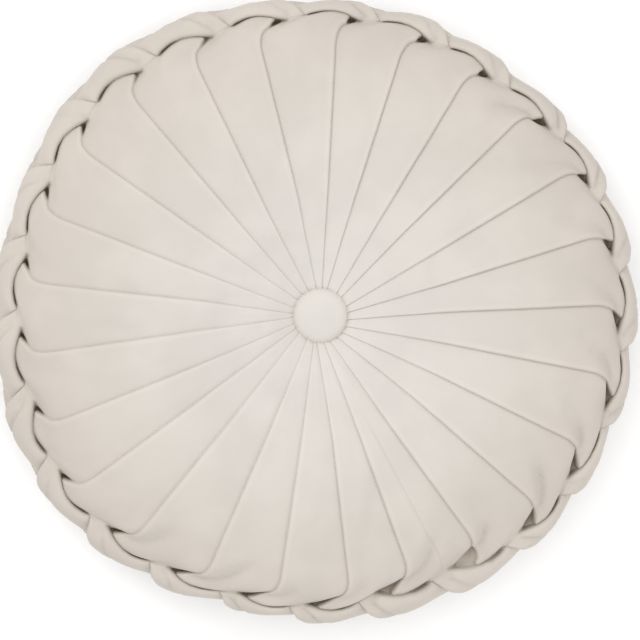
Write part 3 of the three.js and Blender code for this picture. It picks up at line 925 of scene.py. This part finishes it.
def middle_strands_mesh():
    """All middle strands, each a closed tube that is nearly flat below."""
    points, faces, painted_shadings = [], [], []
    turn = np.linspace(0, 2 * math.pi, MIDDLE_SIDES, endpoint=False)[None, :]
    run = np.array([-PITCH_WIDTH, RIM_CLOTH])
    aside = np.array([run[1], -run[0]]) / np.hypot(*run)
    along = np.linspace(0, 1, MIDDLE_STEPS)[:, None]
    t = (MIDDLE_INSET + (RIM_CLOTH - 2 * MIDDLE_INSET) * along) / RIM_CLOTH
    arch = np.sin(math.pi * along)
    lifted = np.clip(np.sin(turn), 0, 1) ** ROUND_POWER
    under = MIDDLE_UNDERSIDE * np.clip(np.sin(turn), -1, 0)
    for k in range(COUNT):
        width = MIDDLE_WIDTHS[0] + MIDDLE_WIDTHS[1] * arch ** ROUND_POWER
        half = MIDDLE_HALF_WIDTH * MIDDLE_WIDTH_SHARE[k] * width
        top = MIDDLE_ENDS + (MIDDLE_RISE + MIDDLE_RISE_CHANGE[k] - MIDDLE_ENDS) * arch ** ARCH_POWER
        across = np.cos(turn) * half
        valley = VALLEY_DEPTH * bump(np.cos(turn) - VALLEY_SHIFT * math.sin(k), VALLEY_WIDTH) * arch
        rise = MIDDLE_FLOOR + (top - MIDDLE_FLOOR - valley) * lifted + under
        u = k + 1 - t + across * aside[0] / PITCH_WIDTH
        y = RIM_CLOTH * t + across * aside[1]
        points.append(swelled(plain_point(u, y, y, rise), u, y).reshape(-1, 3))
        # Painted shade low on the strand's sides
        painted_shadings.append(bump(rise - MIDDLE_FLOOR, SIDE_SHADE_REACH).ravel() * SIDE_SHADE)
        start = k * MIDDLE_STEPS * MIDDLE_SIDES
        end = start + (MIDDLE_STEPS - 1) * MIDDLE_SIDES
        for ring in range(start, end, MIDDLE_SIDES):
            faces += ring_band(ring, ring + MIDDLE_SIDES, MIDDLE_SIDES)
        faces.append(tuple(start + j for j in range(MIDDLE_SIDES)))
        faces.append(tuple(end + j for j in reversed(range(MIDDLE_SIDES))))
    return soft_mesh("middle_strands", np.vstack(points), faces, np.concatenate(painted_shadings))


# Covered buttons: a low dome with a rolled edge, gathered a little where it turns under

BUTTON_SIDES = 144
BUTTON_PROFILE = np.array([  # share of the radius, share of the height from the underside
    (0.12, 0.995), (0.25, 0.985), (0.4, 0.965), (0.53, 0.935), (0.65, 0.895), (0.75, 0.85),
    (0.83, 0.79), (0.89, 0.72), (0.935, 0.645), (0.97, 0.56), (0.99, 0.47), (1.0, 0.38),
    (0.997, 0.29), (0.98, 0.2), (0.95, 0.12), (0.9, 0.04), (0.84, 0.0),
])
GATHERS = ((17, 0.4, 0.10), (23, 1.9, 0.12), (31, 5.1, 0.07))  # to a round, turned by, depth in mm
GATHERS_GROW = (0.8, 1.0)  # shares of the radius
DOME_UNEVENNESS = 0.012  # share of the height
DOME_TURN = 0.6
DOME_GROWS = (0.2, 0.8)
# Painted shading of the button: the whole dome a little darker, painted shade where its edge rolls
# under, and more at the point underneath
DOME_SHADE = 0.22
EDGE_SHADE = 0.3  # painted shade that the rolled edge adds
EDGE_SHADE_FADES = (0.15, 0.45)  # shares of the height
UNDER_SHADE = 0.5


def button_mesh(name, low_z, high_z, side):
    """A button that faces up for side 1 and down for side -1."""
    turn = np.linspace(0, 2 * math.pi, BUTTON_SIDES, endpoint=False)
    shares, heights = BUTTON_PROFILE[:, :1], BUTTON_PROFILE[:, 1:]
    gathered = sum(depth * np.cos(count * turn + first) for count, first, depth in GATHERS)
    radius = BUTTON_RADIUS * shares + gathered[None, :] * smooth(*GATHERS_GROW, shares)
    uneven = DOME_UNEVENNESS * np.cos(2 * turn - DOME_TURN)[None, :] * smooth(*DOME_GROWS, shares)
    if side < 0:
        low_z, high_z = high_z, low_z
    z = low_z + (high_z - low_z) * (heights - uneven)
    points = np.stack([CENTRE[0] + radius * np.cos(turn), CENTRE[1] + radius * np.sin(turn), z], axis=-1)
    points = np.vstack([points.reshape(-1, 3), [[*CENTRE, high_z], [*CENTRE, low_z]]]) * MM
    faces = capped_rings(len(BUTTON_PROFILE), BUTTON_SIDES)
    if side < 0:
        faces = [face[::-1] for face in faces]
    painted_shading = DOME_SHADE + EDGE_SHADE * (1 - smooth(*EDGE_SHADE_FADES, heights[:, 0]))
    painted_shading = np.concatenate([np.repeat(painted_shading, BUTTON_SIDES), [DOME_SHADE, UNDER_SHADE]])
    return soft_mesh(name, points, faces, painted_shading)


# Velvet: nap brushed in soft patches, with a painted sheen that makes it paler near the middle, where it
# faces up, painted shade that makes the rim darker and warmer, and painted shade, warm and dark, down in
# the creases

# Painted sheen and shade: the velvet is paler at the centre, where the nap faces up, and darker and
# warmer towards the rim, where it turns away
CENTRE_SHEEN_COLOUR = (0.625, 0.595, 0.555, 1)
FACE_COLOUR = (0.585, 0.553, 0.514, 1)
RIM_SHADE_COLOUR = (0.545, 0.498, 0.445, 1)
# Painted shade: the warm dark colour down in creases, holes and slits
PAINTED_SHADE_COLOUR = (0.165, 0.092, 0.042, 1)
CENTRE_SHEEN_FADES = (0.022, 0.060)  # metres from the axis between which the painted sheen of the centre gives way to the face's colour
# metres from the axis between which the painted shade of the rim comes in
RIM_SHADE_GROWS = (0.06, 0.19)
BRUSHED_SHARE = 0.955
BRUSHED_EDGES = (0.38, 0.62)
# Painted highlight on a fold's rolled edge, as a share of the colour
RIDGE_HIGHLIGHT_SHARE = 1.12
# values of the painted shading between which the painted shade comes in
PAINTED_SHADE_RANGE = (0.15, 0.85)
DARKEST = 0.9  # share of the painted shade's colour where the painted shading is deepest
PATCHES = {"Scale": 24.0, "Detail": 3.0, "Roughness": 0.55}
PILE = {"Scale": 1400.0, "Detail": 2.0}
PILE_BUMPS = {"Strength": 0.25, "Distance": 0.0002}
SURFACE = {
    "Roughness": 0.9,
    "Specular IOR Level": 0.2,
    "Sheen Weight": 0.15,
    "Sheen Roughness": 0.45,
    "Sheen Tint": (1.0, 0.97, 0.93, 1),
}


def add_node(tree, kind, **settings):
    """A shader node; each setting is an attribute, or an input named with its spaces as underscores."""
    node = tree.nodes.new("ShaderNode" + kind)
    for name, value in settings.items():
        if hasattr(node, name):
            setattr(node, name, value)
        else:
            node.inputs[name.replace("_", " ")].default_value = value
    return node


def grey(share):
    """The grey that takes a colour to this share of itself."""
    return (share, share, share, 1)


def mixed(tree, factor, a, b, blend="MIX"):
    """A colour mix of two sockets or colours by a socket."""
    node = tree.nodes.new("ShaderNodeMix")
    node.data_type = "RGBA"
    node.blend_type = blend
    tree.links.new(factor, node.inputs[0])
    for socket, value in ((node.inputs[6], a), (node.inputs[7], b)):
        if isinstance(value, tuple):
            socket.default_value = value
        else:
            tree.links.new(value, socket)
    return node.outputs[2]


def ranged(tree, value, low, high, to_low=0.0, to_high=1.0):
    """A socket's value taken smoothly from one range to another."""
    node = add_node(tree, "MapRange", From_Min=low, From_Max=high, To_Min=to_low, To_Max=to_high)
    node.interpolation_type = "SMOOTHSTEP"
    tree.links.new(value, node.inputs["Value"])
    return node.outputs["Result"]


def velvet_material():
    """Ivory velvet, with a painted sheen and painted shade that change with the distance from the axis,
    and painted shade and highlight from the painted shading at each point.
    """
    material = bpy.data.materials.new("velvet")
    material.use_nodes = True
    tree = material.node_tree
    shader = tree.nodes["Principled BSDF"]
    where = tree.nodes.new("ShaderNodeTexCoord").outputs["Object"]

    flat = add_node(tree, "VectorMath", operation="MULTIPLY")
    flat.inputs[1].default_value = (1, 1, 0)
    tree.links.new(where, flat.inputs[0])
    from_axis = add_node(tree, "VectorMath", operation="LENGTH")
    tree.links.new(flat.outputs["Vector"], from_axis.inputs[0])
    # Painted sheen towards the centre and painted shade towards the rim
    on_rim = ranged(tree, from_axis.outputs["Value"], *RIM_SHADE_GROWS)
    on_face = ranged(tree, from_axis.outputs["Value"], *CENTRE_SHEEN_FADES)
    colour = mixed(tree, on_face, CENTRE_SHEEN_COLOUR, FACE_COLOUR)
    colour = mixed(tree, on_rim, colour, RIM_SHADE_COLOUR)

    patches = add_node(tree, "TexNoise", **PATCHES)
    tree.links.new(where, patches.inputs["Vector"])
    brushed = ranged(tree, patches.outputs["Fac"], *BRUSHED_EDGES)
    colour = mixed(tree, brushed, colour, grey(BRUSHED_SHARE), "MULTIPLY")

    # Painted highlight where the painted shading is below 0, and painted shade where it is above
    painted_shading = add_node(tree, "Attribute", attribute_name="painted_shading")
    shining = ranged(tree, painted_shading.outputs["Fac"], -1.0, 0.0, 1.0, 0.0)
    colour = mixed(tree, shining, colour, grey(RIDGE_HIGHLIGHT_SHARE), "MULTIPLY")
    painted_dark = ranged(tree, painted_shading.outputs["Fac"], *PAINTED_SHADE_RANGE, 0.0, DARKEST)
    colour = mixed(tree, painted_dark, colour, PAINTED_SHADE_COLOUR)
    tree.links.new(colour, shader.inputs["Base Color"])

    pile = add_node(tree, "TexNoise", **PILE)
    tree.links.new(where, pile.inputs["Vector"])
    bumps = add_node(tree, "Bump", **PILE_BUMPS)
    tree.links.new(pile.outputs["Fac"], bumps.inputs["Height"])
    tree.links.new(bumps.outputs["Normal"], shader.inputs["Normal"])

    for name, value in SURFACE.items():
        shader.inputs[name].default_value = value
    return material


# The pieces

def add(name, mesh, material):
    """An object of the mesh, in the scene."""
    piece = bpy.data.objects.new(name, mesh)
    bpy.context.scene.collection.objects.link(piece)
    mesh.materials.append(material)
    return piece


velvet = velvet_material()
cover = add("cover", cover_mesh(), velvet)
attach(cover, "root")
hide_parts("cushion")
middle_strands = add("middle_strands", middle_strands_mesh(), velvet)
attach(middle_strands, "root")
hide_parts("cushion")
for node, side in (("button_front", 1), ("button_back", -1)):
    low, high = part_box(node)
    button = add(node + "_cover", button_mesh(node, low.z / MM, high.z / MM, side), velvet)
    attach(button, "root")
    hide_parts(node)

# Floor, light and camera, in metres

FLOOR_REACH = 12.0
FLOOR_COLOUR = (0.95, 0.95, 0.95, 1)
SKY_COLOUR = (1, 1, 1, 1)
SKY_STRENGTH = 0.85
LIT_POINT = Vector((0, 0, 0.05))
LIGHTS = (  # name, place, size, power in watts
    ("key", (-1.2, 1.35, 1.8), 0.9, 13),
    ("fill", (1.6, -1.5, 0.7), 1.4, 6),
    ("overhead", (-0.1, 0.1, 2.6), 1.6, 22),
)
PICTURE_PIXELS = 640
MM_PER_PIXEL = 400 / 632  # the braid's width in the picture
SENSOR_WIDTH = 36
DISTANCE = 2.2
AIM_SHIFT = (0.0018, -0.0049)


def floor_mesh():
    """One large square."""
    mesh = bpy.data.meshes.new("floor")
    corners = [(x * FLOOR_REACH, y * FLOOR_REACH, 0) for x, y in ((-1, -1), (1, -1), (1, 1), (-1, 1))]
    mesh.from_pydata(corners, [], [(0, 1, 2, 3)])
    return mesh


def area_light(name, place, size, power):
    """A square lamp that shines at the cushion."""
    light = bpy.data.lights.new(name, "AREA")
    light.size = size
    light.energy = power
    lamp = bpy.data.objects.new(name, light)
    scene.collection.objects.link(lamp)
    lamp.location = place
    lamp.rotation_euler = (LIT_POINT - Vector(place)).to_track_quat("-Z", "Y").to_euler()


white = bpy.data.materials.new("floor_white")
white.use_nodes = True
white.node_tree.nodes["Principled BSDF"].inputs["Base Color"].default_value = FLOOR_COLOUR
floor = add("floor", floor_mesh(), white)
floor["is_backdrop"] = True

scene = bpy.context.scene
scene.view_settings.view_transform = "Standard"
world = bpy.data.worlds.new("studio")
scene.world = world
world.use_nodes = True
world.node_tree.nodes["Background"].inputs["Color"].default_value = SKY_COLOUR
world.node_tree.nodes["Background"].inputs["Strength"].default_value = SKY_STRENGTH
for lamp_values in LIGHTS:
    area_light(*lamp_values)

camera_data = bpy.data.cameras.new("camera")
camera = bpy.data.objects.new("camera", camera_data)
scene.collection.objects.link(camera)
scene.camera = camera
camera_data.sensor_width = SENSOR_WIDTH
camera_data.lens = SENSOR_WIDTH * DISTANCE / (PICTURE_PIXELS * MM_PER_PIXEL * MM)
aim = Vector((CENTRE[0] * MM + AIM_SHIFT[0], CENTRE[1] * MM + AIM_SHIFT[1], MIDDLE_Z * MM))
off_axis = math.sin(TILT)
back = Vector((off_axis * math.cos(TILT_TOWARDS), off_axis * math.sin(TILT_TOWARDS), math.cos(TILT)))
camera.location = aim + back * DISTANCE
right = Vector((0, 1, 0)).cross(back).normalized()
camera.rotation_euler = Matrix((right, back.cross(right), back)).transposed().to_euler()

low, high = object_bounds()
